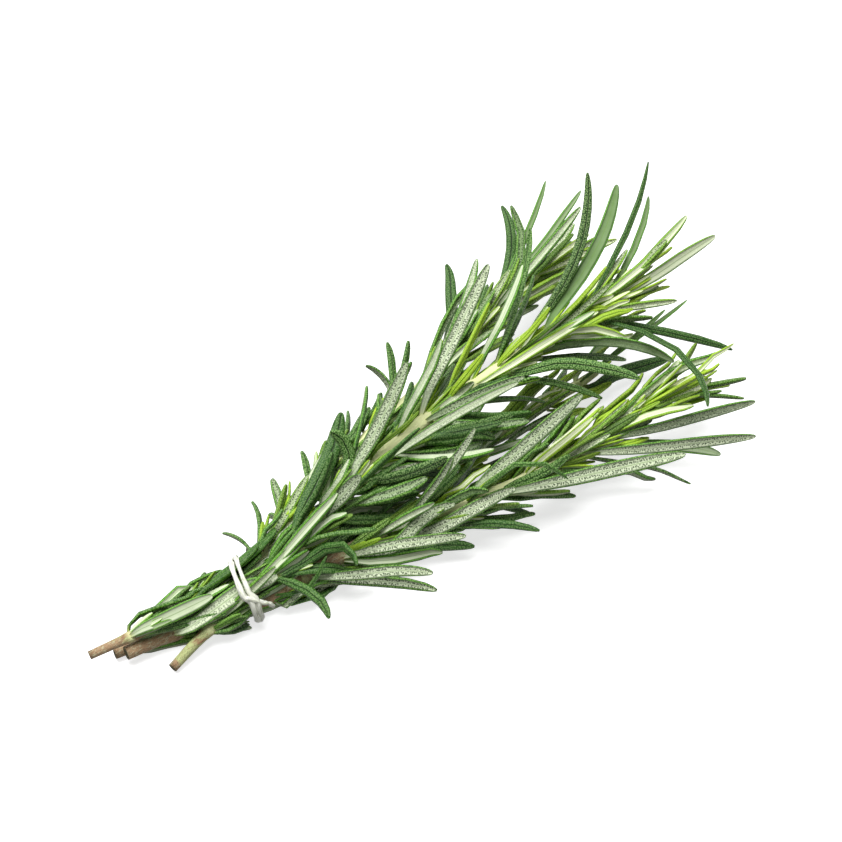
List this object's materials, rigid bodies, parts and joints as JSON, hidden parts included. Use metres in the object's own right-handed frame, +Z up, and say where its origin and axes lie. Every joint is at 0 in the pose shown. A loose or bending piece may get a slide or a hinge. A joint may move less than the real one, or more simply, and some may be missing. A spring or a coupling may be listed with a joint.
{
  "type": "tied rosemary bunch",
  "caption": "Fresh rosemary sprigs tied near their cut ends with a strip of raffia and lying down, with narrow leathery leaves, dark above and pale beneath.",
  "frame": {"origin": "middle of the footprint, on the surface that the bunch lies on", "axes": "+X along the bunch from the cut ends to the growing tips, +Y to the bunch's left, +Z up"},
  "size_m": [0.1338, 0.069, 0.0354],
  "materials": {
    "stem": "green-brown young bark, matt, with woody brown cut ends",
    "leaf": "leathery leaf, dark green and satin above, pale grey-green felt beneath, yellow-green near the tips",
    "raffia": "dry pale fibre strip, matt"
  },
  "bodies": {
    "root": {"sprig_a_stem": "stem", "sprig_a_whorl_01": "leaf", "sprig_a_whorl_02": "leaf", "sprig_a_whorl_03": "leaf", "sprig_a_whorl_04": "leaf", "sprig_a_whorl_05": "leaf", "sprig_a_whorl_06": "leaf", "sprig_a_whorl_07": "leaf", "sprig_a_whorl_08": "leaf", "sprig_a_whorl_09": "leaf", "sprig_a_whorl_10": "leaf", "sprig_a_whorl_11": "leaf", "sprig_a_whorl_12": "leaf", "sprig_a_whorl_13": "leaf", "sprig_a_whorl_14": "leaf", "sprig_a_whorl_15": "leaf", "sprig_a_whorl_16": "leaf", "sprig_b_stem": "stem", "sprig_b_whorl_01": "leaf", "sprig_b_whorl_02": "leaf", "sprig_b_whorl_03": "leaf", "sprig_b_whorl_04": "leaf", "sprig_b_whorl_05": "leaf", "sprig_b_whorl_06": "leaf", "sprig_b_whorl_07": "leaf", "sprig_b_whorl_08": "leaf", "sprig_b_whorl_09": "leaf", "sprig_b_whorl_10": "leaf", "sprig_b_whorl_11": "leaf", "sprig_b_whorl_12": "leaf", "sprig_b_whorl_13": "leaf", "sprig_b_whorl_14": "leaf", "sprig_b_whorl_15": "leaf", "sprig_b_whorl_16": "leaf", "sprig_c_stem": "stem", "sprig_c_whorl_01": "leaf", "sprig_c_whorl_02": "leaf", "sprig_c_whorl_03": "leaf", "sprig_c_whorl_04": "leaf", "sprig_c_whorl_05": "leaf", "sprig_c_whorl_06": "leaf", "sprig_c_whorl_07": "leaf", "sprig_c_whorl_08": "leaf", "sprig_c_whorl_09": "leaf", "sprig_c_whorl_10": "leaf", "sprig_c_whorl_11": "leaf", "sprig_c_whorl_12": "leaf", "sprig_c_whorl_13": "leaf", "sprig_c_whorl_14": "leaf", "sprig_d_stem": "stem", "sprig_d_whorl_01": "leaf", "sprig_d_whorl_02": "leaf", "sprig_d_whorl_03": "leaf", "sprig_d_whorl_04": "leaf", "sprig_d_whorl_05": "leaf", "sprig_d_whorl_06": "leaf", "sprig_d_whorl_07": "leaf", "sprig_d_whorl_08": "leaf", "sprig_d_whorl_09": "leaf", "raffia_tie": "raffia"}
  },
  "joints": []
}
